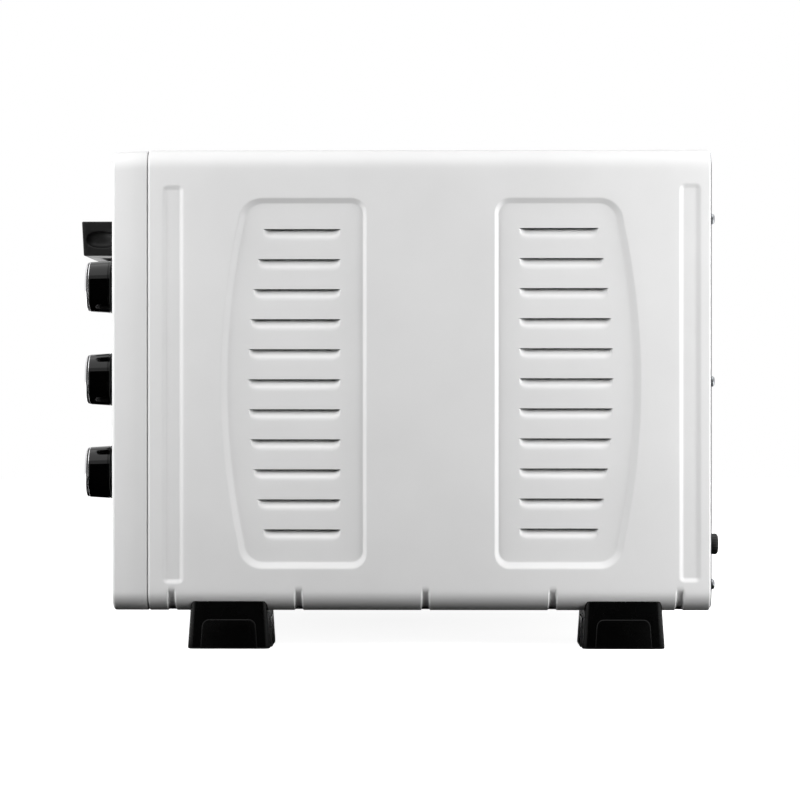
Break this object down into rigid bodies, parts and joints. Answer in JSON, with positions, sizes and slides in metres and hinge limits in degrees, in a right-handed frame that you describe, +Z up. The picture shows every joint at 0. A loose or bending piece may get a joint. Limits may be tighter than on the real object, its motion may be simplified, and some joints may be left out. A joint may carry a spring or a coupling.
{
  "type": "reflow oven",
  "caption": "Bench-top reflow oven: white sheet-metal case with pressed side louvres, drop-down glass door, rotary controls, wire rack and board tray, on black feet.",
  "frame": {"origin": "middle of the object's outer box in plan, on the surface it stands on", "axes": "+Z up, -Y towards the person in front of the door, +X to that person's right, where the controls are"},
  "size_m": [0.5406, 0.5048, 0.3764],
  "materials": {
    "white_enamel": "satin powder coat on folded steel",
    "zinc_sheet": "galvanised steel sheet",
    "cavity_steel": "aluminised steel sheet",
    "chrome_wire": "chrome-plated wire",
    "heater_steel": "matt stainless sheath",
    "porcelain": "unglazed porcelain",
    "black_plastic": "fine-grained moulding",
    "gloss_black": "polished moulding",
    "chrome_trim": "bright plating",
    "rubber_pad": "matt",
    "silicone_seal": "matt silicone",
    "tinted_glass": "dark tempered glass",
    "clear_glass": "tempered glass",
    "dark_tray": "dark non-stick coating",
    "fascia_white": "satin coat",
    "motor_steel": "laminated steel",
    "phenolic": "moulded phenolic",
    "ivory_plastic": "moulded nylon",
    "amber_lens": "clear amber moulding",
    "wire_sleeve": "woven silicone sleeve",
    "zinc_screw": "bright zinc",
    "bush_nylon": "moulded nylon"
  },
  "bodies": {
    "case": {"outer_cover": "white_enamel", "front_frame": "white_enamel", "control_fascia": "fascia_white", "rear_panel": "zinc_sheet", "base_pan": "zinc_sheet", "foot_front_left": "black_plastic", "foot_front_right": "black_plastic", "foot_rear_left": "black_plastic", "foot_rear_right": "black_plastic", "foot_pads": "rubber_pad", "foot_screws": "zinc_screw", "rear_screws": "zinc_screw", "cord_bush": "bush_nylon", "cavity_wrap": "cavity_steel", "cavity_floor": "cavity_steel", "cavity_back": "cavity_steel", "rack_rail_left": "cavity_steel", "rack_rail_right": "cavity_steel", "heater_top_front": "heater_steel", "heater_top_rear": "heater_steel", "heater_bottom_front": "heater_steel", "heater_bottom_rear": "heater_steel", "heater_bushes": "porcelain", "fan_baffle": "cavity_steel", "fan_motor": "motor_steel", "motor_bracket": "zinc_sheet", "heat_shield": "zinc_sheet", "control_bracket": "zinc_sheet", "thermostat": "ivory_plastic", "sensor_bulb": "chrome_wire", "mode_switch": "phenolic", "timer": "zinc_sheet", "knob_bezels": "gloss_black", "pilot_lamp_lens": "amber_lens", "pilot_lamp_body": "ivory_plastic", "terminal_block": "ivory_plastic", "wiring_loom": "wire_sleeve", "door_seal": "silicone_seal", "hinge_bracket_left": "zinc_sheet", "hinge_bracket_right": "zinc_sheet", "door_springs": "zinc_screw"},
    "door": {"door_glass": "tinted_glass", "door_panel": "white_enamel", "door_inner_glass": "clear_glass", "door_handle": "black_plastic", "handle_screws": "zinc_screw", "hinge_pivots": "zinc_screw"},
    "rack": {"wire_rack": "chrome_wire", "board_tray": "dark_tray"},
    "fan": {"convection_fan": "cavity_steel", "fan_shaft": "zinc_screw"},
    "temperature_control": {"temperature_knob": "gloss_black", "temperature_knob_ring": "chrome_trim", "temperature_shaft": "zinc_screw"},
    "mode_control": {"mode_knob": "gloss_black", "mode_knob_ring": "chrome_trim", "mode_shaft": "zinc_screw"},
    "timer_control": {"timer_knob": "gloss_black", "timer_knob_ring": "chrome_trim", "timer_shaft": "zinc_screw"}
  },
  "joints": [
    {"name": "door_hinge", "type": "hinge", "parent": "case", "child": "door", "pos_m": [-0.056, -0.215, 0.052], "axis": [1, 0, 0], "range_deg": [0, 90], "stiffness_Nm_per_rad": 1.3, "springref_deg": -20.05},
    {"name": "rack_slide", "type": "slide", "parent": "case", "child": "rack", "axis": [0, -1, 0], "range_m": [0, 0.0945]},
    {"name": "fan_spin", "type": "hinge", "parent": "case", "child": "fan", "pos_m": [-0.056, 0.1756, 0.1964], "axis": [0, 1, 0], "continuous": true},
    {"name": "temperature_turn", "type": "hinge", "parent": "case", "child": "temperature_control", "pos_m": [0.213, -0.22, 0.2747], "axis": [0, 1, 0], "range_deg": [0, 270]},
    {"name": "mode_turn", "type": "hinge", "parent": "case", "child": "mode_control", "pos_m": [0.213, -0.22, 0.2032], "axis": [0, 1, 0], "range_deg": [0, 240]},
    {"name": "timer_turn", "type": "hinge", "parent": "case", "child": "timer_control", "pos_m": [0.213, -0.22, 0.1317], "axis": [0, 1, 0], "range_deg": [0, 300]}
  ],
  "couplings": [
    {"joint": "rack_slide", "follows": "door_hinge", "m_per_rad": 0.06}
  ]
}
